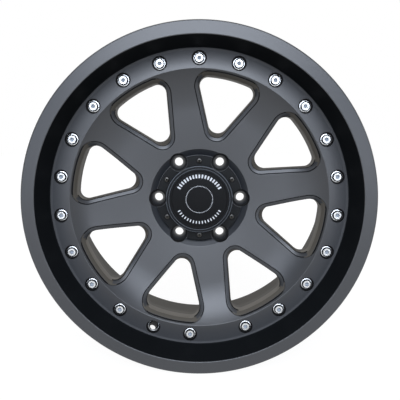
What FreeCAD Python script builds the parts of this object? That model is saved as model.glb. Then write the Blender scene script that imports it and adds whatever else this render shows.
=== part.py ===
import FreeCAD, Part
import math
import os

# Cast aluminium truck wheel, 20 x 9 inch, six studs, with a bolted-look ring behind a deep lip.
# Millimetres. The wheel stands upright: its axis is Y, the show face looks along -Y, +Z is up.
# The origin is on the axis, in the plane of the hub mounting face.
# Angles run clockwise from the top, as seen from the show face.

V = FreeCAD.Vector
AXIS = V(0, 1, 0)

# Rim: 20 inch code with 5 degree bead seats and J flanges, 9 inches between the flanges
RIM_DIAMETER = 512.8
RIM_WIDTH = 228.6
RIM_OFFSET = 18.0
FLANGE_HEIGHT = 17.5
FLANGE_THICKNESS = 12.7
FLANGE_CURL = 7.0
FLANGE_EDGE = 3.0
SEAT_WIDTH = 20.0
SEAT_TAPER_DEG = 5.0
SEAT_FILLET = 6.5
HUMP_HEIGHT = 1.2
HUMP_WIDTH = 14.0
WELL_DEPTH = 27.0
WELL_WIDTH = 50.0
WELL_LEG_DEG = 45.0
BARREL_LEG = 45.0
BARREL_WALL = 7.0
BARREL_BEND = 25.0
BACK_END_WALL = 10.4

# Lip and ring: a flat lip, a deep wall behind it, then the ring that carries the bolts
LIP_FACE = 21.4
LIP_BEVEL = 2.6
RING_SETBACK = 43.0
RING_OUTER_RADIUS = 241.0
RING_FALL = 4.0
RING_FILLET = 5.0
CREST_RADIUS = 209.0
EDGE_RADIUS = 1.5

# Spoke face: a shallow cone from the hub that turns up to the ring's crest
HUB_EDGE_RADIUS = 82.8
FACE_SLOPE_DEG = 7.0
FACE_BEND_RADIUS = 180.0
FACE_CURVE = 120.0
SPOKE_HUB_STEP = 4.0
SPOKE_HUB_RADIUS = 100.0
RING_THICKNESS = 32.0
SPOKE_BACK_FILLET = 9.0

# Hub: mounting pad, centre bore and the shallow recess that the cap sits in
HUB_THICKNESS = 22.0
RECESS_DEPTH = 7.0
RECESS_FLOOR_RADIUS = 73.0
BORE_RADIUS = 53.1
BORE_CHAMFER = 1.5
PAD_RADIUS = 90.0
PAD_CHAMFER = 4.0

# Stud holes with 60 degree seats
LUG_COUNT = 6
LUG_CIRCLE_DIAMETER = 139.7
LUG_FIRST_DEG = 30.0
LUG_HOLE_RADIUS = 7.1
LUG_SEAT_RADIUS = 11.7
LUG_SEAT_DEG = 60.0
LUG_POCKET_RADIUS = 15.0
LUG_POCKET_DEPTH = 5.0

# Windows between the spokes: rounded triangles with a stepped and bevelled front edge
WINDOW_COUNT = 8
WINDOW_FIRST_DEG = 14.0
WINDOW_APEX_RADIUS = 72.4
WINDOW_HALF_DEG = 27.0
WINDOW_TIP_FILLET = 21.0
WINDOW_CORNER_FILLET = 22.5
WINDOW_RIM_GAP = 2.5
WINDOW_STEP = 2.0
WINDOW_LEDGE = 6.2
WINDOW_BEVEL_WIDTH = 4.7
WINDOW_BEVEL_DEPTH = 2.2
WINDOW_DRAFT_DEG = 3.0

# Ring bolts on a 22-place circle; the valve hole takes one place and one gap is wider
BOLT_PITCH_DEG = 16.0
BOLT_PLACES_RIGHT = 11
BOLT_PLACES_LEFT = 11
VALVE_PLACE = -10
BOLT_CIRCLE_RADIUS = 225.0
BOLT_POCKET_RADIUS = 11.8
BOLT_POCKET_DEPTH = 6.0
BOLT_FLANGE_RADIUS = 9.0
BOLT_FLANGE_HEIGHT = 2.0
BOLT_HEAD_ACROSS = 12.0
BOLT_HEAD_HEIGHT = 6.0
BOLT_HEAD_BEVEL = 1.0
BOLT_SOCKET_ACROSS = 6.0
BOLT_SOCKET_DEPTH = 3.4
BOLT_SHANK_RADIUS = 4.0
BOLT_SHANK_LENGTH = 11.0
BOLT_HOLE_SPARE = 2.0
THREAD_CLEARANCE = 0.1

# Valve hole: a bolt-like pocket, a shallow ring seat and a bore that leans out to the tyre side
VALVE_HOLE_RADIUS = 5.75
VALVE_SEAT_RADIUS = 8.0
VALVE_SEAT_BEVEL = 1.3
VALVE_SEAT_DEPTH = 1.2
VALVE_LEAN_DEG = 42.0

# Centre cap: a moulded cup with a scalloped flange, held by six screws, with a disc in its end
CAP_CLEARANCE = 1.0
CAP_FLANGE_THICKNESS = 6.0
CAP_BOSS_RADIUS = 55.4
CAP_BOSS_HEIGHT = 16.5
CAP_BOSS_EDGE = 2.0
CAP_WALL = 3.2
CAP_SCALLOP_CLEARANCE = 0.5
CAP_EDGE = 1.0
DISC_RADIUS = 50.4
DISC_THICKNESS = 1.6
DISC_PROUD = 0.3
DISC_CLEARANCE = 0.15
DISC_EDGE = 0.5
SCREW_COUNT = 6
SCREW_FIRST_DEG = 0.0
SCREW_CIRCLE_RADIUS = 63.0
SCREW_HEAD_RADIUS = 4.2
SCREW_HEAD_HEIGHT = 3.0
SCREW_HEAD_SINK = 0.4
SCREW_HEAD_CLEARANCE = 0.4
SCREW_SOCKET_ACROSS = 3.0
SCREW_SOCKET_DEPTH = 1.8
SCREW_SHANK_RADIUS = 2.5
SCREW_GRIP = 8.0
SCREW_HOLE_SPARE = 1.5

# Planes along the axis, worked out from the mounting face at y = 0
front_flange_y = RIM_OFFSET - RIM_WIDTH / 2
back_flange_y = RIM_OFFSET + RIM_WIDTH / 2
lip_front_y = front_flange_y - FLANGE_THICKNESS
back_end_y = back_flange_y + FLANGE_THICKNESS
crest_y = lip_front_y + RING_SETBACK
ring_foot_y = crest_y + RING_FALL
cap_seat_y = -HUB_THICKNESS
hub_edge_y = cap_seat_y - RECESS_DEPTH
face_fall = math.tan(math.radians(FACE_SLOPE_DEG))
face_bend_y = hub_edge_y - (FACE_BEND_RADIUS - HUB_EDGE_RADIUS) * face_fall

# Radii of the rim
seat_radius = RIM_DIAMETER / 2
flange_radius = seat_radius + FLANGE_HEIGHT
lip_inner_radius = flange_radius - LIP_FACE
seat_toe_radius = seat_radius - SEAT_WIDTH * math.tan(math.radians(SEAT_TAPER_DEG))
well_radius = seat_radius - WELL_DEPTH
well_inner_radius = well_radius - BARREL_WALL
lug_circle_radius = LUG_CIRCLE_DIAMETER / 2


def rounded_face(corners):
    """Face in the (radius, y) half plane from corners given as (radius, y, corner radius)."""
    count = len(corners)
    points = [V(radius, y, 0) for radius, y, _ in corners]
    ways = [(points[(i + 1) % count] - points[i]).normalize() for i in range(count)]
    left = [points[i].distanceToPoint(points[(i + 1) % count]) for i in range(count)]
    trims = [0.0] * count
    half_turns = [ways[i - 1].getAngle(ways[i]) / 2 for i in range(count)]
    # Small corners are trimmed first, and no corner takes more of an edge than is left of it
    for i in sorted(range(count), key=lambda place: corners[place][2]):
        wanted = corners[i][2] * math.tan(half_turns[i])
        trims[i] = min(wanted, 0.95 * left[i - 1], 0.95 * left[i])
        left[i - 1] -= trims[i]
        left[i] -= trims[i]
    edges = []
    for i in range(count):
        begin = points[i] - ways[i - 1] * trims[i]
        end = points[i] + ways[i] * trims[i]
        if trims[i] > 0:
            bend = trims[i] / math.tan(half_turns[i])
            inward = (ways[i] - ways[i - 1]).normalize()
            middle = points[i] + inward * (bend / math.cos(half_turns[i]) - bend)
            edges.append(Part.Arc(begin, middle, end).toShape())
        after = (i + 1) % count
        edges.append(Part.LineSegment(end, points[after] - ways[i] * trims[after]).toShape())
    return Part.Face(Part.Wire(edges))


def turned_solid(corners):
    """Solid of revolution about the wheel's axis."""
    return rounded_face(corners).revolve(V(0, 0, 0), AXIS, 360)


def at_angle(shape, degrees):
    """Copy of a shape made at the top of the wheel, carried round to its clockwise angle."""
    copy = shape.copy()
    copy.rotate(V(0, 0, 0), AXIS, degrees)
    return copy


def ring_of(shape, angles):
    """Copies of a shape at each angle."""
    return [at_angle(shape, angle) for angle in angles]


def rod(radius, y_from, y_to, height):
    """Cylinder along the axis direction, standing above the axis at the given height."""
    return Part.makeCylinder(radius, y_to - y_from, V(0, y_from, height), AXIS)


def hexagon_rod(across_flats, y_from, y_to, height):
    """Hexagonal bar along the axis direction."""
    corner = across_flats / math.sqrt(3)
    points = []
    for k in range(7):
        turn = math.radians(60 * k)
        points.append(V(corner * math.cos(turn), y_from, height + corner * math.sin(turn)))
    return Part.Face(Part.makePolygon(points)).extrude(AXIS * (y_to - y_from))


def evenly(count, first):
    """Angles of a full circle of places."""
    return [first + 360 / count * k for k in range(count)]


lug_angles = evenly(LUG_COUNT, LUG_FIRST_DEG)
window_angles = evenly(WINDOW_COUNT, WINDOW_FIRST_DEG)
screw_angles = evenly(SCREW_COUNT, SCREW_FIRST_DEG)
bolt_places = [k for k in range(-BOLT_PLACES_LEFT, BOLT_PLACES_RIGHT) if k != VALVE_PLACE]
bolt_angles = [BOLT_PITCH_DEG * k for k in bolt_places]
valve_angle = BOLT_PITCH_DEG * VALVE_PLACE


# The casting: barrel, lip, ring, spokes and hub in one piece
def ring_face_y(radius):
    """Depth of the ring's front face at a radius."""
    share = (radius - CREST_RADIUS) / (RING_OUTER_RADIUS - CREST_RADIUS)
    return crest_y + share * RING_FALL


def wheel_section():
    """Section of the wheel before its windows and holes are cut."""
    hump_y = front_flange_y + SEAT_WIDTH
    leg_top_y = hump_y + HUMP_WIDTH
    leg_run = (seat_toe_radius - well_radius) / math.tan(math.radians(WELL_LEG_DEG))
    well_y = leg_top_y + leg_run
    rise_y = well_y + WELL_WIDTH
    land_y = rise_y + BARREL_LEG
    ring_back_y = crest_y + RING_THICKNESS
    front = [
        (BORE_RADIUS, cap_seat_y, 0),
        (RECESS_FLOOR_RADIUS, cap_seat_y, EDGE_RADIUS),
        (HUB_EDGE_RADIUS, hub_edge_y, EDGE_RADIUS),
        (FACE_BEND_RADIUS, face_bend_y, FACE_CURVE),
        (CREST_RADIUS, crest_y, EDGE_RADIUS),
        (RING_OUTER_RADIUS, ring_foot_y, RING_FILLET),
        (lip_inner_radius, lip_front_y, EDGE_RADIUS),
        (flange_radius, lip_front_y + LIP_BEVEL, FLANGE_EDGE),
    ]
    tyre_side = [
        (flange_radius, front_flange_y, FLANGE_CURL),
        (seat_radius, front_flange_y, SEAT_FILLET),
        (seat_toe_radius, hump_y, 0),
        (seat_toe_radius + HUMP_HEIGHT, hump_y + HUMP_WIDTH / 3, EDGE_RADIUS),
        (seat_toe_radius, leg_top_y, FLANGE_EDGE),
        (well_radius, well_y, SEAT_FILLET),
        (well_radius, rise_y, BARREL_BEND),
        (seat_toe_radius, land_y, BARREL_BEND),
        (seat_toe_radius, back_flange_y - SEAT_WIDTH, 0),
        (seat_radius, back_flange_y, SEAT_FILLET),
        (flange_radius, back_flange_y, FLANGE_CURL),
        (flange_radius, back_end_y, FLANGE_EDGE),
    ]
    back = [
        (seat_radius - BACK_END_WALL, back_end_y, EDGE_RADIUS),
        (seat_toe_radius - BARREL_WALL, land_y, BARREL_BEND),
        (well_inner_radius, rise_y, BARREL_BEND),
        (well_inner_radius, ring_back_y, SPOKE_BACK_FILLET),
        (SPOKE_HUB_RADIUS, -SPOKE_HUB_STEP, SPOKE_BACK_FILLET),
        (PAD_RADIUS + PAD_CHAMFER, -SPOKE_HUB_STEP, EDGE_RADIUS),
        (PAD_RADIUS, 0, 0),
        (BORE_RADIUS + BORE_CHAMFER, 0, 0),
        (BORE_RADIUS, -BORE_CHAMFER, 0),
    ]
    return front + tyre_side + back


def window_outline(inset, y):
    """Rounded triangle at the top of the wheel, its sides set in from the window's edge."""
    half = math.radians(WINDOW_HALF_DEG)
    apex = WINDOW_APEX_RADIUS + inset / math.sin(half)
    rim = CREST_RADIUS - WINDOW_RIM_GAP - inset
    tip = WINDOW_TIP_FILLET - inset
    corner = WINDOW_CORNER_FILLET - inset
    tip_z = apex + tip / math.sin(half)
    swing = half - math.asin((corner + apex * math.sin(half)) / (rim - corner))
    corner_x, corner_z = (rim - corner) * math.sin(swing), (rim - corner) * math.cos(swing)

    def on_tip(side, turn):
        return V(side * tip * math.sin(turn), y, tip_z - tip * math.cos(turn))

    def on_corner(side, turn):
        return V(side * (corner_x + corner * math.sin(turn)), y, corner_z + corner * math.cos(turn))

    tip_turn = math.pi / 2 - half
    side_turn = math.pi / 2 + half
    corner_turns = [side_turn, (side_turn + swing) / 2, swing]
    tip_left, tip_right = on_tip(-1, tip_turn), on_tip(1, tip_turn)
    right = [on_corner(1, turn) for turn in corner_turns]
    left = [on_corner(-1, turn) for turn in reversed(corner_turns)]
    curves = [
        Part.Arc(tip_left, on_tip(1, 0), tip_right),
        Part.LineSegment(tip_right, right[0]),
        Part.Arc(*right),
        Part.Arc(right[2], V(0, y, rim), left[0]),
        Part.Arc(*left),
        Part.LineSegment(left[2], tip_left),
    ]
    return Part.Wire([curve.toShape() for curve in curves])


def window_bar(inset, draft_deg):
    """Bar of the window's outline that narrows towards the back; the inset is met at the face's bend."""
    narrowing = math.tan(math.radians(draft_deg))
    outlines = []
    for y in (lip_front_y, SPOKE_HUB_STEP):
        outlines.append(window_outline(inset + (y - face_bend_y) * narrowing, y))
    return Part.makeLoft(outlines, True, True)


def air_over_face(depth):
    """Everything in front of the spoke face, down to a depth below it."""
    beyond = CREST_RADIUS - FACE_BEND_RADIUS
    steep = (crest_y - face_bend_y) / beyond
    return turned_solid([
        (HUB_EDGE_RADIUS, lip_front_y, 0),
        (HUB_EDGE_RADIUS, hub_edge_y + depth, 0),
        (FACE_BEND_RADIUS, face_bend_y + depth, FACE_CURVE),
        (CREST_RADIUS + WINDOW_RIM_GAP, crest_y + depth + steep * WINDOW_RIM_GAP, 0),
        (CREST_RADIUS + WINDOW_RIM_GAP, lip_front_y, 0),
    ])


def window_cutter():
    """What one window takes away: a shallow step, a bevelled ledge and the hole through."""
    hole = window_bar(WINDOW_LEDGE, WINDOW_DRAFT_DEG)
    step = window_bar(0, 0).common(air_over_face(WINDOW_STEP))
    cutter = step.fuse(hole).removeSplitter()
    inner_edges = []
    for edge in cutter.Edges:
        middle = Part.Vertex(edge.valueAt((edge.FirstParameter + edge.LastParameter) / 2))
        on_hole = hole.Shells[0].distToShape(middle)[0] < 1e-3
        on_step = step.Shells[0].distToShape(middle)[0] < 1e-3
        if on_hole and on_step and middle.Y > lip_front_y + 1:
            inner_edges.append(edge)
    return cutter.makeChamfer(WINDOW_BEVEL_WIDTH, WINDOW_BEVEL_DEPTH, inner_edges)


def lug_cutter():
    """Stud hole, conical seat and the pocket that a nut and its socket reach through."""
    floor_y = cap_seat_y + LUG_POCKET_DEPTH
    seat_run = (LUG_SEAT_RADIUS - LUG_HOLE_RADIUS) / math.tan(math.radians(LUG_SEAT_DEG / 2))
    pocket = rod(LUG_POCKET_RADIUS, lip_front_y, floor_y, lug_circle_radius)
    seat = Part.makeCone(LUG_SEAT_RADIUS, LUG_HOLE_RADIUS, seat_run, V(0, floor_y, lug_circle_radius), AXIS)
    hole = rod(LUG_HOLE_RADIUS, floor_y, HUB_THICKNESS, lug_circle_radius)
    return pocket.fuse([seat, hole])


bolt_face_y = ring_face_y(BOLT_CIRCLE_RADIUS)
bolt_seat_y = bolt_face_y + BOLT_POCKET_DEPTH


def bolt_cutter():
    """Pocket and tapped hole of one ring bolt."""
    pocket = rod(BOLT_POCKET_RADIUS, crest_y - RING_FALL, bolt_seat_y, BOLT_CIRCLE_RADIUS)
    hole_end = bolt_seat_y + BOLT_SHANK_LENGTH + BOLT_HOLE_SPARE
    hole = rod(BOLT_SHANK_RADIUS + THREAD_CLEARANCE, bolt_seat_y, hole_end, BOLT_CIRCLE_RADIUS)
    return pocket.fuse(hole)


def valve_cutter():
    """Pocket, ring seat and leaning bore of the valve hole."""
    pocket = rod(BOLT_POCKET_RADIUS, crest_y - RING_FALL, bolt_seat_y, BOLT_CIRCLE_RADIUS)
    seat_floor_y = bolt_seat_y + VALVE_SEAT_DEPTH
    seat_edge = VALVE_SEAT_RADIUS + VALVE_SEAT_BEVEL
    seat_foot = V(0, bolt_seat_y, BOLT_CIRCLE_RADIUS)
    seat = Part.makeCone(seat_edge, VALVE_SEAT_RADIUS, VALVE_SEAT_DEPTH, seat_foot, AXIS)
    lean = math.radians(VALVE_LEAN_DEG)
    way = V(0, math.cos(lean), math.sin(lean))
    lead = VALVE_HOLE_RADIUS * math.tan(lean)
    reach = lead + (flange_radius - BOLT_CIRCLE_RADIUS) / math.sin(lean)
    begin = V(0, seat_floor_y, BOLT_CIRCLE_RADIUS) - way * lead
    bore = Part.makeCylinder(VALVE_HOLE_RADIUS, reach, begin, way)
    return pocket.fuse([seat, bore])


def screw_hole():
    """Tapped hole in the hub for one cap screw."""
    depth = SCREW_GRIP + SCREW_HOLE_SPARE
    return rod(SCREW_SHANK_RADIUS + THREAD_CLEARANCE, cap_seat_y, cap_seat_y + depth, SCREW_CIRCLE_RADIUS)


def wheel_casting():
    cuts = ring_of(window_cutter(), window_angles)
    cuts += ring_of(lug_cutter(), lug_angles)
    cuts += ring_of(bolt_cutter(), bolt_angles)
    cuts += ring_of(screw_hole(), screw_angles)
    cuts.append(at_angle(valve_cutter(), valve_angle))
    return turned_solid(wheel_section()).cut(cuts)


# Ring bolts: flange bolts with twelve-point heads and hexagon sockets, seated in the ring's pockets
def ring_bolt():
    head_top_y = bolt_seat_y - BOLT_HEAD_HEIGHT
    flange = rod(BOLT_FLANGE_RADIUS, bolt_seat_y - BOLT_FLANGE_HEIGHT, bolt_seat_y, BOLT_CIRCLE_RADIUS)
    blank = rod(BOLT_HEAD_ACROSS / math.sqrt(3), head_top_y, bolt_seat_y, BOLT_CIRCLE_RADIUS)
    rims = [edge for edge in blank.Edges if abs(edge.BoundBox.YMax - head_top_y) < 1e-6]
    blank = blank.makeChamfer(BOLT_HEAD_BEVEL, rims[:1])
    star = hexagon_rod(BOLT_HEAD_ACROSS, head_top_y, bolt_seat_y, BOLT_CIRCLE_RADIUS)
    turned = star.copy()
    turned.rotate(V(0, 0, BOLT_CIRCLE_RADIUS), AXIS, 30)
    head = blank.common(star.fuse(turned).removeSplitter())
    shank = rod(BOLT_SHANK_RADIUS, bolt_seat_y, bolt_seat_y + BOLT_SHANK_LENGTH, BOLT_CIRCLE_RADIUS)
    socket = hexagon_rod(BOLT_SOCKET_ACROSS, head_top_y, head_top_y + BOLT_SOCKET_DEPTH, BOLT_CIRCLE_RADIUS)
    return flange.fuse([head, shank]).removeSplitter().cut(socket)


# Centre cap body: hollow cup, open to the hub, with a flange scalloped round the stud pockets
cap_flange_radius = RECESS_FLOOR_RADIUS - CAP_CLEARANCE
cap_flange_y = cap_seat_y - CAP_FLANGE_THICKNESS
cap_top_y = cap_flange_y - CAP_BOSS_HEIGHT
disc_seat_y = cap_top_y + DISC_THICKNESS - DISC_PROUD
screw_seat_y = cap_flange_y + SCREW_HEAD_SINK + SCREW_HEAD_HEIGHT


def cap_body():
    recess_radius = DISC_RADIUS + DISC_CLEARANCE
    inner_radius = CAP_BOSS_RADIUS - CAP_WALL
    shell = turned_solid([
        (0, disc_seat_y, 0),
        (recess_radius, disc_seat_y, 0),
        (recess_radius, cap_top_y, 0),
        (CAP_BOSS_RADIUS, cap_top_y, CAP_BOSS_EDGE),
        (CAP_BOSS_RADIUS, cap_flange_y, CAP_EDGE),
        (cap_flange_radius, cap_flange_y, CAP_EDGE),
        (cap_flange_radius, cap_seat_y, 0),
        (inner_radius, cap_seat_y, 0),
        (inner_radius, disc_seat_y + CAP_WALL, CAP_BOSS_EDGE),
        (0, disc_seat_y + CAP_WALL, 0),
    ])
    scallop = rod(LUG_POCKET_RADIUS + CAP_SCALLOP_CLEARANCE, cap_flange_y, cap_seat_y, lug_circle_radius)
    hole = rod(SCREW_SHANK_RADIUS + THREAD_CLEARANCE, cap_flange_y, cap_seat_y, SCREW_CIRCLE_RADIUS)
    sink = rod(SCREW_HEAD_RADIUS + SCREW_HEAD_CLEARANCE, cap_flange_y, screw_seat_y, SCREW_CIRCLE_RADIUS)
    cuts = ring_of(scallop, lug_angles) + ring_of(hole.fuse(sink), screw_angles)
    return shell.cut(cuts)


# Plain disc let into the end of the cap
def cap_disc():
    return turned_solid([
        (0, disc_seat_y, 0),
        (0, disc_seat_y - DISC_THICKNESS, 0),
        (DISC_RADIUS, disc_seat_y - DISC_THICKNESS, DISC_EDGE),
        (DISC_RADIUS, disc_seat_y, 0),
    ])


# Cap screws: small socket heads sunk in the cap's flange
def cap_screw():
    head_top_y = screw_seat_y - SCREW_HEAD_HEIGHT
    head = rod(SCREW_HEAD_RADIUS, head_top_y, screw_seat_y, SCREW_CIRCLE_RADIUS)
    shank = rod(SCREW_SHANK_RADIUS, screw_seat_y, cap_seat_y + SCREW_GRIP, SCREW_CIRCLE_RADIUS)
    socket_end = head_top_y + SCREW_SOCKET_DEPTH
    socket = hexagon_rod(SCREW_SOCKET_ACROSS, head_top_y, socket_end, SCREW_CIRCLE_RADIUS)
    return head.fuse(shank).removeSplitter().cut(socket)


nodes = {
    "wheel_casting": wheel_casting(),
    "ring_bolts": Part.makeCompound(ring_of(ring_bolt(), bolt_angles)),
    "cap_body": cap_body(),
    "cap_disc": cap_disc(),
    "cap_screws": Part.makeCompound(ring_of(cap_screw(), screw_angles)),
}

os.makedirs("parts", exist_ok=True)
for name, shape in nodes.items():
    shape.exportStep(os.path.join("parts", name + ".step"))
    print(name, len(shape.Solids), "solids", round(shape.Volume / 1000, 1), "cm3", shape.isValid())
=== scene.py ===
import bmesh
import bpy
import math
from mathutils import Matrix, Vector


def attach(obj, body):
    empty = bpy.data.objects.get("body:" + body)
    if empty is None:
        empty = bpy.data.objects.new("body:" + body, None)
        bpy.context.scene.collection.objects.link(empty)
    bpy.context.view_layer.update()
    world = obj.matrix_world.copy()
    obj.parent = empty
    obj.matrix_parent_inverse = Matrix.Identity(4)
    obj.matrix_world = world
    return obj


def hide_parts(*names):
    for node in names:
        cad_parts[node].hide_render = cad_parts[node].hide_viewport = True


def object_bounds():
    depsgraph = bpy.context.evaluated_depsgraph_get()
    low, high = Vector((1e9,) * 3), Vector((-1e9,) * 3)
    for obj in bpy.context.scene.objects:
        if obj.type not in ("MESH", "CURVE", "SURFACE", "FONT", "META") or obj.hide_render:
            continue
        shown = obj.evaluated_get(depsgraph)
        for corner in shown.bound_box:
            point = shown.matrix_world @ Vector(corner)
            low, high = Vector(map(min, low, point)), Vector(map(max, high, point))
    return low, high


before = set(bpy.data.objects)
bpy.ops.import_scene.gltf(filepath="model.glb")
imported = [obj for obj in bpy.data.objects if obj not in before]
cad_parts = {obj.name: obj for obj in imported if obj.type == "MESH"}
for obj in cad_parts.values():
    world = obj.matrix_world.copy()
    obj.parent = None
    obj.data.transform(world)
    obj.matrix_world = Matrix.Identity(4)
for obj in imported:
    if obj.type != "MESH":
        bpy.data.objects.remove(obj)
cad_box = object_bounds()


# Wheel casting, first stage: rim, spokes and hub are one aluminium casting, turned on a lathe and
# then powder-coated. Its section is drawn in millimetres as (radius, y, corner radius). The show
# face looks along -Y, the hub mounting face is y = 0 and angles run clockwise from the top.
MM = 0.001
FULL_TURN = 2 * math.pi
SPOKES = 8
SLICE = FULL_TURN / SPOKES
ARC_STEPS = 20
FIRST_WINDOW = math.radians(14)
FLANGE_RADIUS = 273.9
FRONT_FLANGE_Y = -96.3
BACK_FLANGE_Y = 132.3
FLANGE_FILLET = 6.5
BACK_EDGE = (246.0, 145.0)
LIP_FRONT_Y = -109.0
LIP_INNER_RADIUS = 252.5
LIP_FALL = 2.6
BEAD_RADIUS = 256.4
BEAD_WIDTH = 20.0
BARREL_RADIUS = 254.65
BARREL_INNER_RADIUS = 247.65
HUMP = (255.85, -71.6)
WELL_RADIUS = 229.4
WELL_INNER_RADIUS = 222.4
WELL_RIM_Y = -62.3
WELL_FRONT_Y = -37.05
WELL_BACK_Y = 12.95
WELL_RAMP_Y = 57.95
WELL_BLEND = 25.0
CREST = (209.0, -66.0)
RING_FOOT = (241.0, -62.0)
RING_BACK_Y = -34.0
HUB_EDGE = (82.8, -29.0)
RECESS_RADIUS = 73.0
CAP_SEAT_Y = -22.0
BORE_RADIUS = 53.1
BORE_CHAMFER = 1.5
PAD_RADIUS = 90.0
PAD_FOOT_RADIUS = 94.0
SPOKE_BACK = (100.0, -4.0)
SPOKE_FILLET = 9.0
FACE_SLOPE = math.radians(7)
FACE_BEND_RADIUS = 180.0
FACE_CURVE = 117.6
FACE_FROM = 93.0
FACE_TO = 208.4
BACK_FROM = 101.5
BACK_TO = 215.4
SEAM_GAP = 0.02


def face_y(radius):
    """Depth of the spoke face: a shallow cone, an arc and a steep run up to the ring's crest."""
    bend_y = HUB_EDGE[1] - (FACE_BEND_RADIUS - HUB_EDGE[0]) * math.tan(FACE_SLOPE)
    steep = math.atan2(bend_y - CREST[1], CREST[0] - FACE_BEND_RADIUS)
    trim = FACE_CURVE * math.tan((steep - FACE_SLOPE) / 2)
    arc_from = FACE_BEND_RADIUS - trim * math.cos(FACE_SLOPE)
    arc_to = FACE_BEND_RADIUS + trim * math.cos(steep)
    if radius < arc_from:
        return HUB_EDGE[1] - (radius - HUB_EDGE[0]) * math.tan(FACE_SLOPE)
    if radius > arc_to:
        return CREST[1] + (CREST[0] - radius) * math.tan(steep)
    centre_radius = arc_from - FACE_CURVE * math.sin(FACE_SLOPE)
    arc_y = HUB_EDGE[1] - (arc_from - HUB_EDGE[0]) * math.tan(FACE_SLOPE)
    centre_y = arc_y - FACE_CURVE * math.cos(FACE_SLOPE)
    return centre_y + math.sqrt(FACE_CURVE ** 2 - (radius - centre_radius) ** 2)


def back_y(radius):
    """Depth of the spokes' back, a straight cone from the hub pad to the barrel."""
    share = (radius - SPOKE_BACK[0]) / (WELL_INNER_RADIUS - SPOKE_BACK[0])
    return SPOKE_BACK[1] + share * (RING_BACK_Y - SPOKE_BACK[1])


hub_line = [
    (FACE_FROM, face_y(FACE_FROM), 0),
    (*HUB_EDGE, 1.5),
    (RECESS_RADIUS, CAP_SEAT_Y, 1.5),
    (BORE_RADIUS, CAP_SEAT_Y, 0.5),
    (BORE_RADIUS, -BORE_CHAMFER, 0),
    (BORE_RADIUS + BORE_CHAMFER, 0, 0),
    (PAD_RADIUS, 0, 0.5),
    (PAD_FOOT_RADIUS, SPOKE_BACK[1], 1.5),
    (*SPOKE_BACK, SPOKE_FILLET),
    (BACK_FROM, back_y(BACK_FROM), 0),
]
rim_line = [
    (FACE_TO, face_y(FACE_TO), 0),
    (*CREST, 1.2),
    (*RING_FOOT, 5),
    (LIP_INNER_RADIUS, LIP_FRONT_Y, 1.5),
    (FLANGE_RADIUS, LIP_FRONT_Y + LIP_FALL, 3),
    (FLANGE_RADIUS, FRONT_FLANGE_Y, FLANGE_FILLET),
    (BEAD_RADIUS, FRONT_FLANGE_Y, FLANGE_FILLET),
    (BARREL_RADIUS, FRONT_FLANGE_Y + BEAD_WIDTH, 0),
    (*HUMP, 1.5),
    (BARREL_RADIUS, WELL_RIM_Y, 3),
    (WELL_RADIUS, WELL_FRONT_Y, 6.5),
    (WELL_RADIUS, WELL_BACK_Y, WELL_BLEND),
    (BARREL_RADIUS, WELL_RAMP_Y, WELL_BLEND),
    (BARREL_RADIUS, BACK_FLANGE_Y - BEAD_WIDTH, 0),
    (BEAD_RADIUS, BACK_FLANGE_Y, FLANGE_FILLET),
    (FLANGE_RADIUS, BACK_FLANGE_Y, FLANGE_FILLET),
    (FLANGE_RADIUS, BACK_EDGE[1], 3),
    (*BACK_EDGE, 1.5),
    (BARREL_INNER_RADIUS, WELL_RAMP_Y, WELL_BLEND),
    (WELL_INNER_RADIUS, WELL_BACK_Y, WELL_BLEND),
    (WELL_INNER_RADIUS, RING_BACK_Y, SPOKE_FILLET),
    (BACK_TO, back_y(BACK_TO), 0),
]


def rounded_line(corners, arc_step=math.radians(13)):
    """Points of an open line whose corners are turned by arcs."""
    points = [Vector(corners[0][:2])]
    for before, corner, after in zip(corners, corners[1:], corners[2:]):
        here = Vector(corner[:2])
        way_in = (here - Vector(before[:2])).normalized()
        way_out = (Vector(after[:2]) - here).normalized()
        side = math.copysign(1, way_in.x * way_out.y - way_in.y * way_out.x)
        turn = way_in.angle(way_out)
        if not corner[2]:
            points.append(here)
            continue
        begin = here - way_in * corner[2] * math.tan(turn / 2)
        centre = begin + Vector((-way_in.y, way_in.x)) * side * corner[2]
        count = max(2, math.ceil(turn / arc_step))
        for k in range(count + 1):
            swing = Matrix.Rotation(side * turn * k / count, 2)
            points.append(centre + swing @ (begin - centre))
    points.append(Vector(corners[-1][:2]))
    return points


def spin_line(bm, corners, angle, steps):
    """Spins a rounded line about the wheel's axis, over an angle centred on the top."""
    verts = [bm.verts.new((0, p.y * MM, p.x * MM)) for p in rounded_line(corners)]
    edges = [bm.edges.new(pair) for pair in zip(verts, verts[1:])]
    start = Matrix.Rotation(-angle / 2, 3, "Y")
    bmesh.ops.rotate(bm, verts=verts, cent=(0, 0, 0), matrix=start)
    bmesh.ops.spin(
        bm, geom=verts + edges, axis=(0, 1, 0), cent=(0, 0, 0),
        angle=angle, steps=steps, use_merge=angle == FULL_TURN,
    )


# Wheel casting, second stage: one window with the half spokes on both sides of it, then all eight.
# Each window is a rounded triangle with its point to the hub. Its edge has a shallow step and a
# bevel that follow the dish of the face, and its wall goes through with a casting draft.
WINDOW_APEX = 72.4
WINDOW_HALF = math.radians(27)
WINDOW_RIM = 206.5
WINDOW_TIP = 21.0
WINDOW_CORNER = 22.5
EDGE_ROUND = 0.6
EDGE_TURNS = [math.radians(turn) for turn in (30, 60, 90)]
BACK_INSET = 9.2
BACK_RIM = 7.0
BACK_TIP = 16.5
FACE_CUTS = 7
BACK_CUTS = 4
# Steps of the window's edge, as (inset from the outline, depth below the face).
GROOVE_EDGES = [(0, 3.0), (1.2, 3.0), (1.4, 1.9)]
LEDGE_EDGES = [(1.8, 1.9), (6.2, 4.1)]
LIP_EDGES = [(7.2, 6.4)]
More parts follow.
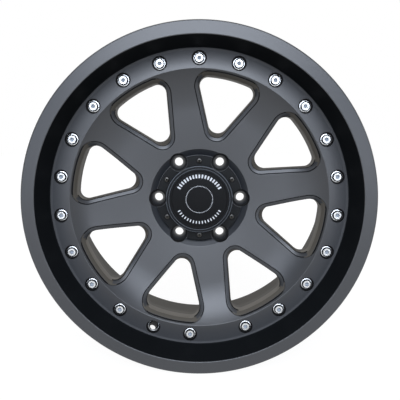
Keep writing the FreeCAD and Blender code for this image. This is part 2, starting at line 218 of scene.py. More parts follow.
# Paints of the casting, and the bands of radius and depth that some of them cover.
FRONT_COAT, THIN_COAT, BARE_SEAT_HIGHLIGHT, PAINTED_SHADE, PAINTED_SHADE_WALL, RING_COAT, PALER_COAT = range(7)
ANYWHERE = (-math.inf, math.inf)
LEDGE_OVERSPRAY_RADII = (198.6, 204.6)
WALL_RADII, WALL_DEPTHS = (240.5, 251.0), (-104.0, -60.0)
RING_RADII, RING_DEPTHS = (209.5, 240.5), (-math.inf, -60.0)
PALER_RADII, PALER_DEPTHS = (188.0, 203.0), (-54.0, -41.5)
INSIDE_RADII, INSIDE_DEPTHS = (214.0, 250.0), (-36.0, math.inf)
MOST_OUTWARD = 0.4


def mirrored(half):
    """Closed loop from its right half, which starts and ends on the window's own line."""
    return half + [(-x, z) for x, z in reversed(half[1:-1])]


def slice_loop(radius_from, radius_to):
    """Edge of one slice of a ring, as a loop of (x, z)."""
    half = []
    for k in range(ARC_STEPS):
        angle = SLICE / 2 * k / ARC_STEPS
        half.append((radius_from * math.sin(angle), radius_from * math.cos(angle)))
    for k in range(ARC_STEPS):
        radius = radius_from + (radius_to - radius_from) * k / ARC_STEPS
        half.append((radius * math.sin(SLICE / 2), radius * math.cos(SLICE / 2)))
    for k in range(ARC_STEPS + 1):
        angle = SLICE / 2 * (1 - k / ARC_STEPS)
        half.append((radius_to * math.sin(angle), radius_to * math.cos(angle)))
    return mirrored(half)


def window_loop(inset, tip=None, rim_inset=None):
    """Outline of a window moved inwards, with as many points as the slice's edge."""
    tip_steps, side_steps, corner_steps = 10, 22, 12
    rim_steps = 3 * ARC_STEPS - tip_steps - side_steps - corner_steps
    apex = WINDOW_APEX + inset / math.sin(WINDOW_HALF)
    rim = WINDOW_RIM - (rim_inset or inset)
    tip = tip or WINDOW_TIP - inset
    corner = WINDOW_CORNER - inset
    tip_z = apex + tip / math.sin(WINDOW_HALF)
    reach = rim - corner
    swing = WINDOW_HALF - math.asin((corner + apex * math.sin(WINDOW_HALF)) / reach)
    corner_x, corner_z = reach * math.sin(swing), reach * math.cos(swing)
    side_from = (tip * math.cos(WINDOW_HALF), tip_z - tip * math.sin(WINDOW_HALF))
    side_to = (
        corner_x + corner * math.cos(WINDOW_HALF),
        corner_z - corner * math.sin(WINDOW_HALF),
    )
    half = []
    for k in range(tip_steps):
        angle = (math.pi / 2 - WINDOW_HALF) * k / tip_steps
        half.append((tip * math.sin(angle), tip_z - tip * math.cos(angle)))
    for k in range(side_steps):
        share = k / side_steps
        half.append(tuple(a + (b - a) * share for a, b in zip(side_from, side_to)))
    for k in range(corner_steps):
        angle = -WINDOW_HALF + (math.pi / 2 - swing + WINDOW_HALF) * k / corner_steps
        half.append((corner_x + corner * math.cos(angle), corner_z + corner * math.sin(angle)))
    for k in range(rim_steps + 1):
        angle = swing * (1 - k / rim_steps)
        half.append((rim * math.sin(angle), rim * math.cos(angle)))
    return mirrored(half)


def add_loop(bm, loop, depth_at, depth=0.0):
    """Closed loop of edges laid on a face of the wheel, or at a depth below it."""
    verts = []
    for x, z in loop:
        y = depth_at(math.hypot(x, z)) + depth
        verts.append(bm.verts.new((x * MM, y * MM, z * MM)))
    return [bm.edges.new((a, b)) for a, b in zip(verts, verts[1:] + verts[:1])]


def fill_between(bm, outer, inner, depth_at, cuts):
    """Grid of faces between a slice's edge and a window, laid on the face of the wheel."""
    made = bmesh.ops.bridge_loops(bm, edges=outer + inner)
    split = bmesh.ops.subdivide_edges(bm, edges=made["edges"], cuts=cuts, use_grid_fill=True)
    for vert in [item for item in split["geom_inner"] if isinstance(item, bmesh.types.BMVert)]:
        vert.co.y = depth_at(math.hypot(vert.co.x, vert.co.z) / MM) * MM


def mark_faces(bm, known, index):
    """Gives a material slot to every face made since the known ones, and returns all the faces."""
    for face in bm.faces:
        if face not in known:
            face.material_index = index
    return set(bm.faces)


def paint_band(faces, index, radii=ANYWHERE, depths=ANYWHERE):
    """Gives a material slot to the faces whose middles lie in a band of radius and depth."""
    for face in faces:
        centre = face.calc_center_median() / MM
        radius = math.hypot(centre.x, centre.z)
        if radii[0] < radius < radii[1] and depths[0] < centre.y < depths[1]:
            face.material_index = index


def outward(face):
    """Share of a face's normal that points away from the wheel's axis."""
    centre = face.calc_center_median()
    across = centre.x * face.normal.x + centre.z * face.normal.z
    return across / math.hypot(centre.x, centre.z)


wheel = bmesh.new()
edge_loops = [add_loop(wheel, window_loop(-EDGE_ROUND), face_y)]
for turn in EDGE_TURNS:
    outline = window_loop(-EDGE_ROUND * (1 - math.sin(turn)))
    edge_loops.append(add_loop(wheel, outline, face_y, EDGE_ROUND * (1 - math.cos(turn))))
face_slice = add_loop(wheel, slice_loop(FACE_FROM, FACE_TO), face_y)
fill_between(wheel, face_slice, edge_loops[0], face_y, FACE_CUTS)
for upper, lower in zip(edge_loops, edge_loops[1:]):
    bmesh.ops.bridge_loops(wheel, edges=upper + lower)
spin_line(wheel, hub_line, SLICE, 2 * ARC_STEPS)
done = mark_faces(wheel, set(), FRONT_COAT)
last_loop = edge_loops[-1]
# The groove and the lip band of each window's wall get painted shade.
edge_paints = ((GROOVE_EDGES, PAINTED_SHADE), (LEDGE_EDGES, FRONT_COAT), (LIP_EDGES, PAINTED_SHADE))
for edges, paint in edge_paints:
    for inset, depth in edges:
        next_loop = add_loop(wheel, window_loop(inset), face_y, depth)
        bmesh.ops.bridge_loops(wheel, edges=last_loop + next_loop)
        last_loop = next_loop
    before, done = done, mark_faces(wheel, done, paint)
    paint_band(done - before, THIN_COAT, LEDGE_OVERSPRAY_RADII)
back_loop = add_loop(wheel, window_loop(BACK_INSET, BACK_TIP, BACK_RIM), back_y)
window_wall = bmesh.ops.bridge_loops(wheel, edges=last_loop + back_loop)
bmesh.ops.subdivide_edges(wheel, edges=window_wall["edges"], cuts=1, use_grid_fill=True)
back_slice = add_loop(wheel, slice_loop(BACK_FROM, BACK_TO), back_y)
fill_between(wheel, back_slice, back_loop, back_y, BACK_CUTS)
done = mark_faces(wheel, done, THIN_COAT)
spin_line(wheel, rim_line, SLICE, 2 * ARC_STEPS)
mark_faces(wheel, done, FRONT_COAT)
slice_geometry = wheel.verts[:] + wheel.edges[:] + wheel.faces[:]
first_turn = Matrix.Rotation(FIRST_WINDOW, 3, "Y")
bmesh.ops.rotate(wheel, verts=wheel.verts, cent=(0, 0, 0), matrix=first_turn)
bmesh.ops.spin(
    wheel, geom=slice_geometry, axis=(0, 1, 0), cent=(0, 0, 0),
    angle=FULL_TURN - SLICE, steps=SPOKES - 1, use_duplicate=True,
)
bmesh.ops.remove_doubles(wheel, verts=wheel.verts, dist=SEAM_GAP * MM)
bmesh.ops.recalc_face_normals(wheel, faces=wheel.faces)
# The wall behind the lip gets painted shade.
paint_band(wheel.faces, PAINTED_SHADE_WALL, WALL_RADII, WALL_DEPTHS)
paint_band(wheel.faces, RING_COAT, RING_RADII, RING_DEPTHS)
thin_faces = [face for face in wheel.faces if face.material_index == THIN_COAT]
paint_band(thin_faces, PALER_COAT, PALER_RADII, PALER_DEPTHS)
inner_faces = [face for face in wheel.faces if outward(face) < MOST_OUTWARD]
paint_band(inner_faces, THIN_COAT, INSIDE_RADII, INSIDE_DEPTHS)


def linear(hex_colour):
    """Linear colour of an sRGB hex value."""
    parts = [int(hex_colour[i:i + 2], 16) / 255 for i in (1, 3, 5)]
    return [c / 12.92 if c <= 0.04045 else ((c + 0.055) / 1.055) ** 2.4 for c in parts] + [1.0]


def add_node(tree, kind, links=None, **settings):
    """Adds a node, sets its properties and inputs, and links inputs from other sockets."""
    made = tree.nodes.new(kind)
    for name, value in settings.items():
        if hasattr(made, name):
            setattr(made, name, value)
        else:
            made.inputs[name.replace("_", " ")].default_value = value
    for name, socket in (links or {}).items():
        tree.links.new(socket, made.inputs[name])
    return made


def shader_of(material):
    """The surface shader of a material."""
    return material.node_tree.nodes["Principled BSDF"]


def plain_material(name, colour, roughness, metallic=0.0, specular=0.5):
    """Even material; its uniform values sit on the shader itself."""
    material = bpy.data.materials.new(name)
    material.use_nodes = True
    inputs = shader_of(material).inputs
    inputs["Base Color"].default_value = linear(colour)
    inputs["Roughness"].default_value = roughness
    inputs["Metallic"].default_value = metallic
    inputs["Specular IOR Level"].default_value = specular
    return material


def add_grain(material, grain_size, strength, depth):
    """Even bumps of a given size and depth in millimetres, such as orange peel or cast skin."""
    tree = material.node_tree
    place = add_node(tree, "ShaderNodeTexCoord").outputs["Object"]
    grain = add_node(
        tree, "ShaderNodeTexNoise", {"Vector": place}, Scale=1 / (grain_size * MM), Detail=2.0,
    )
    bump = add_node(
        tree, "ShaderNodeBump", {"Height": grain.outputs["Fac"]},
        Strength=strength, Distance=depth * MM,
    )
    tree.links.new(bump.outputs["Normal"], shader_of(material).inputs["Normal"])


# Baked powder coat: a blue-black satin skin with wide soft reflections and a fine orange peel.
# The peel and the other skins are (size of a bump, strength, depth), with sizes in millimetres.
COAT_COLOUR = "#1d2025"
COAT_ROUGHNESS = 0.4
ORANGE_PEEL = (1.2, 0.08, 0.1)
front_coat = plain_material("satin_black_powder_coat", COAT_COLOUR, COAT_ROUGHNESS, specular=0.88)
add_grain(front_coat, *ORANGE_PEEL)
# Overspray on rough cast skin: the powder is thin, so warm brown-grey shows and nothing mirrors.
# On a band of each window's wall towards the rim it is a lighter brown-grey.
CAST_SKIN = (2.5, 0.15, 0.2)
thin_coat = plain_material("thin_black_overspray", "#4d4840", 0.6)
add_grain(thin_coat, *CAST_SKIN)
paler_coat = plain_material("paler_thin_overspray", "#6f695f", 0.6)
add_grain(paler_coat, *CAST_SKIN)
# Aluminium turned after coating, only on the valve's seat: a small bright ring of bare metal.
# Its brightness also stands in for the highlight on the seat's chamfer: a painted highlight.
bare_seat_highlight = plain_material("bare_aluminium_seat_highlight", "#c9cbcc", 0.3, 1.0)
# Painted shade: grooves, pockets and bores are painted near-black and matte, read as thin black
# lines.
painted_shade_coat = plain_material("painted_shade_in_grooves_and_pockets", "#0a0a0b", 0.6, specular=0.2)
# Painted shade on the wall behind the lip: darker and matte, mirrors almost nothing, a black band.
painted_shade_wall_coat = plain_material("painted_shade_wall_behind_lip", "#131517", 0.55, specular=0.05)
# The ring has the satin coat, drier and rougher towards the wall, so that its sheen fades outwards.
FADE_RADII = (213.0, 240.0)
DRY_ROUGHNESS = 0.75
ring_coat = plain_material("satin_powder_coat_ring", COAT_COLOUR, COAT_ROUGHNESS, specular=0.85)
add_grain(ring_coat, *ORANGE_PEEL)
ring_tree = ring_coat.node_tree
ring_place = add_node(ring_tree, "ShaderNodeTexCoord").outputs["Object"]
ring_flat = add_node(ring_tree, "ShaderNodeVectorMath", {0: ring_place}, operation="MULTIPLY")
ring_flat.inputs[1].default_value = (1, 0, 1)
ring_radius = add_node(
    ring_tree, "ShaderNodeVectorMath", {0: ring_flat.outputs[0]}, operation="LENGTH",
)
ring_fade = add_node(
    ring_tree, "ShaderNodeMapRange", {"Value": ring_radius.outputs["Value"]},
    From_Min=FADE_RADII[0] * MM, From_Max=FADE_RADII[1] * MM,
    To_Min=COAT_ROUGHNESS, To_Max=DRY_ROUGHNESS,
)
ring_tree.links.new(ring_fade.outputs["Result"], shader_of(ring_coat).inputs["Roughness"])
casting_paints = (
    front_coat, thin_coat, bare_seat_highlight, painted_shade_coat, painted_shade_wall_coat, ring_coat, paler_coat,
)


# Wheel casting, third stage: the places that are drilled after casting. Each stud hole has a pocket
# and a 60 degree seat. The ring has a pocket for each bolt and one more for the valve, whose bore
# leans out to the tyre side.
LUG_CIRCLE = 69.85
LUG_ANGLES = [math.radians(30 + 60 * k) for k in range(6)]
LUG_POCKET_RADIUS = 15.0
LUG_FLOOR_Y = -17.0
LUG_SEAT_RADIUS = 11.7
LUG_SEAT_END_Y = -9.03
STUD_HOLE_RADIUS = 7.1
LUG_DRILL_YS = (-40.0, 5.0)
BOLT_CIRCLE = 225.0
BOLT_PITCH = math.radians(16)
VALVE_PLACE = -10
BOLT_ANGLES = [BOLT_PITCH * k for k in range(-11, 11) if k != VALVE_PLACE]
BOLT_POCKET_RADIUS = 11.8
BOLT_POCKET_DEPTH = 6.0
BOLT_DRILL_Y = -75.0
RING_FALL = (RING_FOOT[1] - CREST[1]) / (RING_FOOT[0] - CREST[0])
BOLT_SEAT_Y = CREST[1] + (BOLT_CIRCLE - CREST[0]) * RING_FALL + BOLT_POCKET_DEPTH
VALVE_ANGLE = VALVE_PLACE * BOLT_PITCH
VALVE_SEAT_DEPTH = 1.2
VALVE_SEAT_Y = BOLT_SEAT_Y + VALVE_SEAT_DEPTH
VALVE_SEAT_RADII = (9.3, 8.0)
VALVE_LEAN = math.radians(42)
VALVE_BORE_RADIUS = 5.75
VALVE_BORE_RUN = (-5.5, 40.0)
SMALL_HOLE_STEPS = 32


def lathe(bm, rings, segments=48):
    """Round solid along Y from rings of (radius, y), with both ends closed."""
    verts = bmesh.ops.create_circle(bm, radius=rings[0][0] * MM, segments=segments)["verts"]
    upright = Matrix.Rotation(math.pi / 2, 3, "X")
    bmesh.ops.rotate(bm, verts=verts, cent=(0, 0, 0), matrix=upright)
    bmesh.ops.translate(bm, verts=verts, vec=(0, rings[0][1] * MM, 0))
    made = list(verts)
    edges = list({edge for vert in verts for edge in vert.link_edges})
    bmesh.ops.contextual_create(bm, geom=edges)
    for (radius, y), (next_radius, next_y) in zip(rings, rings[1:]):
        grown = bmesh.ops.extrude_edge_only(bm, edges=edges)["geom"]
        verts = [item for item in grown if isinstance(item, bmesh.types.BMVert)]
        edges = [item for item in grown if isinstance(item, bmesh.types.BMEdge)]
        growth = next_radius / radius
        bmesh.ops.translate(bm, verts=verts, vec=(0, (next_y - y) * MM, 0))
        bmesh.ops.scale(bm, verts=verts, vec=(growth, 1, growth))
        made += verts
    bmesh.ops.contextual_create(bm, geom=edges)
    return made


def faces_of(verts):
    """All the faces that use some of these points."""
    return {face for vert in verts for face in vert.link_faces}


def stand_at(bm, verts, radius, angle):
    """Moves a shape made on the axis out to its circle and round to its angle."""
    round_to = Matrix.Rotation(angle, 3, "Y")
    bmesh.ops.translate(bm, verts=verts, vec=(0, 0, radius * MM))
    bmesh.ops.rotate(bm, verts=verts, cent=(0, 0, 0), matrix=round_to)


drills = bmesh.new()
lug_rings = [
    (LUG_POCKET_RADIUS, LUG_DRILL_YS[0]),
    (LUG_POCKET_RADIUS, LUG_FLOOR_Y),
    (LUG_SEAT_RADIUS, LUG_FLOOR_Y),
    (STUD_HOLE_RADIUS, LUG_SEAT_END_Y),
    (STUD_HOLE_RADIUS, LUG_DRILL_YS[1]),
]
for angle in LUG_ANGLES:
    lug = lathe(drills, lug_rings)
    paint_band(faces_of(lug), FRONT_COAT)
    # The stud pocket's wall and floor get painted shade; the seat keeps the satin coat.
    paint_band(faces_of(lug), PAINTED_SHADE, (LUG_SEAT_RADIUS + 0.1, math.inf))
    stand_at(drills, lug, LUG_CIRCLE, angle)
known = set(drills.faces)
pocket_rings = [(BOLT_POCKET_RADIUS, BOLT_DRILL_Y), (BOLT_POCKET_RADIUS, BOLT_SEAT_Y)]
for angle in BOLT_ANGLES:
    stand_at(drills, lathe(drills, pocket_rings), BOLT_CIRCLE, angle)
seat_rings = list(zip(VALVE_SEAT_RADII, (BOLT_SEAT_Y, VALVE_SEAT_Y)))
stand_at(drills, lathe(drills, pocket_rings + seat_rings), BOLT_CIRCLE, VALVE_ANGLE)
# The bolt and valve pockets get painted shade.
mark_faces(drills, known, PAINTED_SHADE)
bmesh.ops.recalc_face_normals(drills, faces=drills.faces)
# Only the middle of the valve's conical seat lies between these depths.
seat_depths = (BOLT_SEAT_Y + VALVE_SEAT_DEPTH / 4, VALVE_SEAT_Y - VALVE_SEAT_DEPTH / 4)
# The middle of the valve's seat gets the bright ring, partly a painted highlight.
paint_band(drills.faces, BARE_SEAT_HIGHLIGHT, depths=seat_depths)
valve_drill = bmesh.new()
bore = lathe(valve_drill, [(VALVE_BORE_RADIUS, y) for y in VALVE_BORE_RUN], SMALL_HOLE_STEPS)
lean = Matrix.Rotation(VALVE_LEAN, 3, "X")
bmesh.ops.rotate(valve_drill, verts=bore, cent=(0, 0, 0), matrix=lean)
bmesh.ops.translate(valve_drill, verts=bore, vec=(0, VALVE_SEAT_Y * MM, 0))
stand_at(valve_drill, bore, BOLT_CIRCLE, VALVE_ANGLE)
# The valve's bore gets painted shade.
mark_faces(valve_drill, set(), PAINTED_SHADE)
bmesh.ops.recalc_face_normals(valve_drill, faces=valve_drill.faces)
SHARP_ANGLE = math.radians(32)


def new_piece(name, bm, node, materials):
    """Object from a finished bmesh, riding on the wheel in place of its plain node."""
    mesh = bpy.data.meshes.new(name)
    bm.to_mesh(mesh)
    bm.free()
    for material in materials:
        mesh.materials.append(material)
    mesh.shade_smooth()
    mesh.set_sharp_from_angle(angle=SHARP_ANGLE)
    piece = bpy.data.objects.new(name, mesh)
    bpy.context.scene.collection.objects.link(piece)
    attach(piece, "root")
    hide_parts(node)
    return piece


def cut_away(piece, cutter_mesh):
    """Cuts a finished shape out of a piece and keeps the result as the piece's own mesh."""
    mesh = bpy.data.meshes.new("cutter")
    cutter_mesh.to_mesh(mesh)
    cutter_mesh.free()
    cutter = bpy.data.objects.new("cutter", mesh)
    bpy.context.scene.collection.objects.link(cutter)
    change = piece.modifiers.new("cut", "BOOLEAN")
    change.object = cutter
    change.operation = "DIFFERENCE"
    change.solver = "EXACT"
    graph = bpy.context.evaluated_depsgraph_get()
    result = bpy.data.meshes.new_from_object(piece.evaluated_get(graph))
    piece.modifiers.remove(change)
    piece.data = result
    bpy.data.objects.remove(cutter)
    result.shade_smooth()
    result.set_sharp_from_angle(angle=SHARP_ANGLE)


casting = new_piece(
    "wheel_casting_body", wheel, "wheel_casting", casting_paints,
)
cut_away(casting, drills)
cut_away(casting, valve_drill)
casting.modifiers.new("even_normals", "WEIGHTED_NORMAL").keep_sharp = True


# Ring bolts: forged steel flange bolts, zinc-plated, one screwed into each pocket of the ring.
# Each has a round flange, a head with twelve points and a hex socket in its end, and all of them
# are the same bolt carried round the ring.
BOLT_POINTS = 12
BOLT_STEPS = 4 * BOLT_POINTS
SHADED_CORNER, SOCKET = 1, 2
CORNER_RADII, CORNER_DEPTHS = (6.0, 7.6), (-5.0, -1.9)
SOCKET_RADII, SOCKET_DEPTHS = (-math.inf, 3.3), (-5.95, -2.0)


def shaped_rings(bm, rings, segments):
    """Closed stack of rings along Y, each (radius, y) or (radius by the angle, y)."""
    made = []
    loops = []
    for radius, y in rings:
        verts = []
        for k in range(segments):
            angle = FULL_TURN * k / segments
            reach = radius(angle) if callable(radius) else radius
            x, z = reach * math.sin(angle), reach * math.cos(angle)
            verts.append(bm.verts.new((x * MM, y * MM, z * MM)))
        loops.append([bm.edges.new(pair) for pair in zip(verts, verts[1:] + verts[:1])])
        made += verts
    for lower, upper in zip(loops, loops[1:]):
        bmesh.ops.bridge_loops(bm, edges=lower + upper)
    for loop in (loops[0], loops[-1]):
        bmesh.ops.contextual_create(bm, geom=loop)
    return made


def hexagon(across_flats):
    """Radius of a hexagon at each angle."""
    return lambda angle: across_flats / 2 / math.cos((angle % (math.pi / 3)) - math.pi / 6)


def twelve_point(radius, depth):
    """Radius of a head with twelve rounded points at each angle."""
    return lambda angle: radius - depth * (0.5 - 0.5 * math.cos(BOLT_POINTS * angle))


# Rings of (radius, y) in millimetres, from the pocket's floor to the front and down the socket.
flange_rings = [(8.4, 0), (9.0, -0.4), (9.0, -1.4), (8.8, -1.7), (7.7, -1.9), (7.2, -2.2)]
head_rings = [
    (twelve_point(6.9, 0.8), -2.4), (twelve_point(6.9, 0.8), -5.2), (twelve_point(6.2, 0.4), -6.0),
]
socket_rings = [(hexagon(6.4), -6.0), (hexagon(6.0), -5.7), (hexagon(6.0), -3.4), (1.2, -2.9)]
bolts = bmesh.new()
for angle in BOLT_ANGLES:
    bolt = shaped_rings(bolts, flange_rings + head_rings + socket_rings, BOLT_STEPS)
    # The corner under the head gets painted shade.
    paint_band(faces_of(bolt), SHADED_CORNER, CORNER_RADII, CORNER_DEPTHS)
    # The socket gets painted shade.
    paint_band(faces_of(bolt), SOCKET, SOCKET_RADII, SOCKET_DEPTHS)
    bmesh.ops.translate(bolts, verts=bolt, vec=(0, BOLT_SEAT_Y * MM, 0))
    stand_at(bolts, bolt, BOLT_CIRCLE, angle)
bmesh.ops.recalc_face_normals(bolts, faces=bolts.faces)
# Bright zinc plate on forged steel: pale metal that mirrors the lights in broken, sparkling spots.
# The forging's unevenness is drawn coarser than it is, so that it shows.
FORGED_SKIN = (1.8, 0.8, 0.45)
zinc = plain_material("bright_zinc_plate", "#d8dadb", 0.25, 1.0)
add_grain(zinc, *FORGED_SKIN)
# Painted shade in the corner between flange and head: dull dark grey, which draws the head's
# outline.
shaded_corner = plain_material("painted_shade_zinc_corner", "#24272a", 0.6, specular=0.2)
# Painted shade inside the socket: an even, dull mid grey.
socket = plain_material("painted_shade_zinc_socket", "#959ca4", 0.6, specular=0.3)
new_piece("ring_bolt_set", bolts, "ring_bolts", [zinc, shaded_corner, socket])


# Centre cap: a cup moulded in black plastic. Its flange sits in the hub recess, is cut round the
# stud pockets and is held by six screws. Its raised boss carries a separate disc in a shallow
# recess.
ROUND_STEPS = 144
POLE_GAP = 0.01
CAP_FLANGE_THICKNESS = 6.0
CAP_FLANGE_Y = CAP_SEAT_Y - CAP_FLANGE_THICKNESS
CAP_FLANGE_RADIUS = 72.0
CAP_TOP_Y = -44.5
CAP_WALL = 3.2
BOSS_RADIUS = 55.4
BOSS_INNER_RADIUS = 52.2
BOSS_ROUND = 1.6
DISC_SEAT_Y = -43.2
DISC_SEAT_RADIUS = 50.55
SCALLOP_RADIUS = 15.5
SCALLOP_YS = (-60.0, -10.0)
SCALLOP_STEPS = 64
SCREW_CIRCLE = 63.0
SCREW_ANGLES = [math.radians(60 * k) for k in range(6)]
SCREW_SEAT_Y = -24.6
SCREW_POCKET_RADIUS = 4.6
SCREW_DRILL_Y = -40.0
EDGE_HIGHLIGHT = 1
EDGE_HIGHLIGHT_RADII = [(54.2, 55.38), (50.5, 51.1)]
EDGE_HIGHLIGHT_DEPTHS = (-math.inf, CAP_TOP_Y + BOSS_ROUND)
cap_line = [
    (0, DISC_SEAT_Y, 0),
    (DISC_SEAT_RADIUS, DISC_SEAT_Y, 0),
    (DISC_SEAT_RADIUS, CAP_TOP_Y, 0.5),
    (BOSS_RADIUS, CAP_TOP_Y, BOSS_ROUND),
    (BOSS_RADIUS, CAP_FLANGE_Y, 1.2),
    (CAP_FLANGE_RADIUS, CAP_FLANGE_Y, 1.0),
    (CAP_FLANGE_RADIUS, CAP_SEAT_Y, 0),
    (BOSS_INNER_RADIUS, CAP_SEAT_Y, 0),
    (BOSS_INNER_RADIUS, DISC_SEAT_Y + CAP_WALL, 2),
    (0, DISC_SEAT_Y + CAP_WALL, 0),
]
cap = bmesh.new()
spin_line(cap, cap_line, FULL_TURN, ROUND_STEPS)
bmesh.ops.remove_doubles(cap, verts=cap.verts, dist=POLE_GAP * MM)
bmesh.ops.recalc_face_normals(cap, faces=cap.faces)
# The boss's rounded edges get a painted highlight.
for radii in EDGE_HIGHLIGHT_RADII:
    paint_band(cap.faces, EDGE_HIGHLIGHT, radii, EDGE_HIGHLIGHT_DEPTHS)
cap_cutter = bmesh.new()
for angle in LUG_ANGLES:
    scallop = lathe(cap_cutter, [(SCALLOP_RADIUS, y) for y in SCALLOP_YS], SCALLOP_STEPS)
    stand_at(cap_cutter, scallop, LUG_CIRCLE, angle)
screw_rings = [(SCREW_POCKET_RADIUS, SCREW_DRILL_Y), (SCREW_POCKET_RADIUS, SCREW_SEAT_Y)]
for angle in SCREW_ANGLES:
    screw_pocket = lathe(cap_cutter, screw_rings, SMALL_HOLE_STEPS)
    stand_at(cap_cutter, screw_pocket, SCREW_CIRCLE, angle)
bmesh.ops.recalc_face_normals(cap_cutter, faces=cap_cutter.faces)
# Moulded ABS with a fine satin skin: deep black with a faint even sheen. The skin's grain is drawn
# coarser than it is, so that it shows.
MOULDED_SKIN = (0.8, 0.06, 0.05)
cap_plastic = plain_material("moulded_black_abs", "#0d0f11", 0.45, specular=0.15)
add_grain(cap_plastic, *MOULDED_SKIN)
# Painted highlight on the rounded edges of the ABS: thin grey lines round the boss and the disc.
painted_edge_highlight = plain_material("painted_highlight_abs_edge", "#565b61", 0.4, specular=0.4)
cap_piece = new_piece("cap_cup", cap, "cap_body", [cap_plastic, painted_edge_highlight])
cut_away(cap_piece, cap_cutter)
cap_piece.modifiers.new("even_normals", "WEIGHTED_NORMAL").keep_sharp = True


# Cap disc: a thin disc of smooth black plastic, pressed into the recess in the cap's boss.
# A fine groove runs round its rim, and a plain ring of marks with a bare middle is printed on it
# in white.
DISC_RADIUS = 50.4
DISC_ROUND = 0.4
DISC_THICKNESS = 1.6
DISC_FRONT_Y = DISC_SEAT_Y - DISC_THICKNESS
GROOVE_DEPTH = 0.5
PRINT, DISC_EDGE = 1, 2
DISC_EDGE_RADII = (49.9, math.inf)
DISC_EDGE_DEPTHS = (-math.inf, DISC_FRONT_Y + DISC_ROUND)
PRINT_THICKNESS = 0.1
MARKS_EACH_SIDE = 8
MARK_PITCH = math.radians(7.5)
MARK_CIRCLE = 38.5
UPPER_MARK = (2.6, 6.0)
LOWER_MARK = (1.8, 4.5)
INNER_RING_RADIUS = 22.0
INNER_RING_WIDTH = 1.1
INNER_RING_STEPS = 60
disc_line = [
    (0, DISC_SEAT_Y, 0),
    (DISC_RADIUS, DISC_SEAT_Y, 0),
    (DISC_RADIUS, DISC_FRONT_Y, DISC_ROUND),
    (46.6, DISC_FRONT_Y, 0.3),
    (46.3, DISC_FRONT_Y + GROOVE_DEPTH, 0.2),
    (45.4, DISC_FRONT_Y + GROOVE_DEPTH, 0.2),
    (45.1, DISC_FRONT_Y, 0.3),
    (0, DISC_FRONT_Y, 0),
]
disc = bmesh.new()
spin_line(disc, disc_line, FULL_TURN, ROUND_STEPS)
bmesh.ops.remove_doubles(disc, verts=disc.verts, dist=POLE_GAP * MM)
# The disc's rounded rim gets the same painted highlight.
paint_band(disc.faces, DISC_EDGE, DISC_EDGE_RADII, DISC_EDGE_DEPTHS)
known = set(disc.faces)


def add_mark(bm, width, length, radius, angle):
    """Printed bar that points to the middle of the disc."""
    bar = bmesh.ops.create_cube(bm, size=1)["verts"]
    bmesh.ops.scale(bm, verts=bar, vec=(width * MM, PRINT_THICKNESS * MM, length * MM))
    bmesh.ops.translate(bm, verts=bar, vec=(0, DISC_FRONT_Y * MM, 0))
    stand_at(bm, bar, radius, angle)


for k in range(-MARKS_EACH_SIDE, MARKS_EACH_SIDE + 1):
    add_mark(disc, *UPPER_MARK, MARK_CIRCLE, MARK_PITCH * k)
    add_mark(disc, *LOWER_MARK, MARK_CIRCLE, math.pi + MARK_PITCH * k)
for k in range(INNER_RING_STEPS):
    ring_angle = FULL_TURN * k / INNER_RING_STEPS
    add_mark(disc, INNER_RING_WIDTH, INNER_RING_WIDTH, INNER_RING_RADIUS, ring_angle)
mark_faces(disc, known, PRINT)
bmesh.ops.recalc_face_normals(disc, faces=disc.faces)
# Smooth black acrylic: the darkest face of the cap, with hardly any sheen from the front.
disc_black = plain_material("smooth_black_acrylic", "#08090b", 0.4, specular=0.12)
# Screen-printed white ink: flat and even, just short of pure white.
disc_white = plain_material("white_screen_print", "#d6d8da", 0.5)
new_piece("cap_end_disc", disc, "cap_disc", [disc_black, disc_white, painted_edge_highlight])


# Cap screws: six small steel button heads with hex sockets, blackened in an oxide bath. Each is
# sunk in a pocket of the cap's flange and screwed into the hub, and so holds the cap.
SCREW_STEPS = 36
button_rings = [(4.0, 0), (4.2, -0.3), (4.2, -1.6), (3.6, -2.6), (2.6, -3.0)]
key_rings = [(hexagon(3.1), -3.0), (hexagon(3.0), -1.2), (0.6, -1.0)]
screws = bmesh.new()
for angle in SCREW_ANGLES:
    screw = shaped_rings(screws, button_rings + key_rings, SCREW_STEPS)
    bmesh.ops.translate(screws, verts=screw, vec=(0, SCREW_SEAT_Y * MM, 0))
    stand_at(screws, screw, SCREW_CIRCLE, angle)
bmesh.ops.recalc_face_normals(screws, faces=screws.faces)
# Black oxide on steel: dark metal that stays shiny, so that each button has one small glint.
oxide = plain_material("black_oxide_steel", "#4a4947", 0.28, 1.0)
new_piece("cap_screw_set", screws, "cap_screws", [oxide])


# Stage: a pale floor under the wheel in a white studio. The floor and the world are white to the
# camera and in reflections, and the floor keeps a faint shadow. A dark curtain hangs far behind the
# camera, where the wheel's face mirrors it, and four soft lights stand in front of the curtain.
AMBIENT = 0.08
FLOOR_GLOW = 0.94
FLOOR_GAP = 0.5
STAGE_HALF_WIDTH = 8
CURTAIN_DISTANCE = 5
LIGHT_DISTANCE = 4.0
LIGHT_TINT = (0.91, 0.98, 1.11)
WHITE = linear("#ffffff")
scene = bpy.context.scene
scene.view_settings.view_transform = "Standard"


def stage_sheet(name, place, paint):
    """Large flat sheet of the stage, put in its place by a matrix."""
    sheet_mesh = bmesh.new()
    bmesh.ops.create_grid(
        sheet_mesh, x_segments=1, y_segments=1, size=STAGE_HALF_WIDTH, matrix=place,
    )
    mesh = bpy.data.meshes.new(name)
    sheet_mesh.to_mesh(mesh)
    sheet_mesh.free()
    mesh.materials.append(paint)
    sheet = bpy.data.objects.new(name, mesh)
    scene.collection.objects.link(sheet)
    return sheet


def seen_directly(tree):
    """One for rays from the camera and for mirrored or refracted ones, and nought for the rest."""
    path = add_node(tree, "ShaderNodeLightPath").outputs
    total = path["Is Camera Ray"]
    for name in ("Is Glossy Ray", "Is Transmission Ray"):
        pair = {0: total, 1: path[name]}
        total = add_node(tree, "ShaderNodeMath", pair, operation="MAXIMUM").outputs[0]
    return total


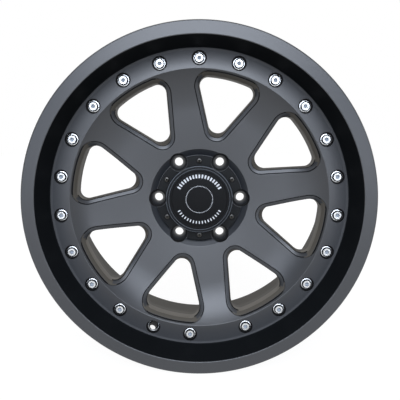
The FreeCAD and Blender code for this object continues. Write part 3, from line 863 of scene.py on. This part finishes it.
# Painted studio floor: matte grey in its own light, nearly white where it is seen directly.
floor_paint = plain_material("pale_floor", "#595959", 0.9)
floor_tree = floor_paint.node_tree
floor_shader = shader_of(floor_paint)
floor_shader.inputs["Emission Color"].default_value = WHITE
glow = add_node(
    floor_tree, "ShaderNodeMath", {0: seen_directly(floor_tree)}, operation="MULTIPLY",
)
glow.inputs[1].default_value = FLOOR_GLOW
floor_tree.links.new(glow.outputs[0], floor_shader.inputs["Emission Strength"])
stage_sheet("floor", Matrix.Translation((0, 0, cad_box[0][2] - FLOOR_GAP * MM)), floor_paint)

# Black cloth: it sends almost no light back, and is seen only as the dark in the wheel's sheen.
cloth = plain_material("black_cloth", "#141414", 0.9, specular=0.1)
hanging = Matrix.Translation((0, -CURTAIN_DISTANCE, 0)) @ Matrix.Rotation(math.pi / 2, 4, "X")
curtain = stage_sheet("dark_curtain", hanging, cloth)
curtain.visible_camera = False

world = bpy.data.worlds.new("studio")
scene.world = world
world.use_nodes = True
sky = world.node_tree
backdrop = sky.nodes["Background"]
strength = add_node(sky, "ShaderNodeMapRange", {"Value": seen_directly(sky)}, To_Min=AMBIENT)
backdrop.inputs["Color"].default_value = WHITE
sky.links.new(strength.outputs["Result"], backdrop.inputs["Strength"])


def soft_light(name, turn, height, width, tall, radiance):
    """Softbox that faces the wheel, turned to its right and raised above its axis by degrees."""
    lamp = bpy.data.lights.new(name, "AREA")
    lamp.shape = "RECTANGLE"
    lamp.size = width
    lamp.size_y = tall
    lamp.energy = radiance * math.pi * width * tall
    lamp.color = LIGHT_TINT
    turn, height = math.radians(turn), math.radians(height)
    flat = math.cos(height)
    way = Vector((math.sin(turn) * flat, -math.cos(turn) * flat, math.sin(height)))
    holder = bpy.data.objects.new(name, lamp)
    holder.location = way * LIGHT_DISTANCE
    holder.rotation_euler = (-way).to_track_quat("-Z", "Y").to_euler()
    scene.collection.objects.link(holder)


soft_light("overhead_front", turn=0, height=30, width=3.2, tall=2.7, radiance=6.2)
soft_light("low_front", turn=0, height=3, width=2.6, tall=0.4, radiance=5.5)
soft_light("right_side", turn=33, height=-1, width=0.9, tall=1.8, radiance=5.6)
soft_light("left_side", turn=-33, height=-1, width=0.9, tall=1.8, radiance=4.2)


# Camera: it looks down on the wheel's face by about seven degrees, from 0.76 m in front of the lip.
# Its place puts the middle of the lip's front edge on one point of the 400 by 400 picture.
VIEW_DISTANCE = 762.0
VIEW_DOWN = math.radians(7.5)
VIEW_FOCAL = 500.0
FRAME_PIXELS = 400.0
LIP_CENTRE_PIXEL = (199.3, 205.0)
SENSOR = 36.0
shift_right = (LIP_CENTRE_PIXEL[0] - FRAME_PIXELS / 2) * VIEW_DISTANCE / VIEW_FOCAL
shift_up = (FRAME_PIXELS / 2 - LIP_CENTRE_PIXEL[1]) * VIEW_DISTANCE / VIEW_FOCAL
forward = Vector((0, math.cos(VIEW_DOWN), -math.sin(VIEW_DOWN)))
upward = Vector((0, math.sin(VIEW_DOWN), math.cos(VIEW_DOWN)))
eye = Vector((-shift_right, LIP_FRONT_Y, 0)) - forward * VIEW_DISTANCE - upward * shift_up
lens = bpy.data.cameras.new("camera")
lens.sensor_width = SENSOR
lens.lens = VIEW_FOCAL / FRAME_PIXELS * SENSOR
camera = bpy.data.objects.new("camera", lens)
camera.location = eye * MM
camera.rotation_euler = (math.pi / 2 - VIEW_DOWN, 0, 0)
scene.collection.objects.link(camera)
scene.camera = camera
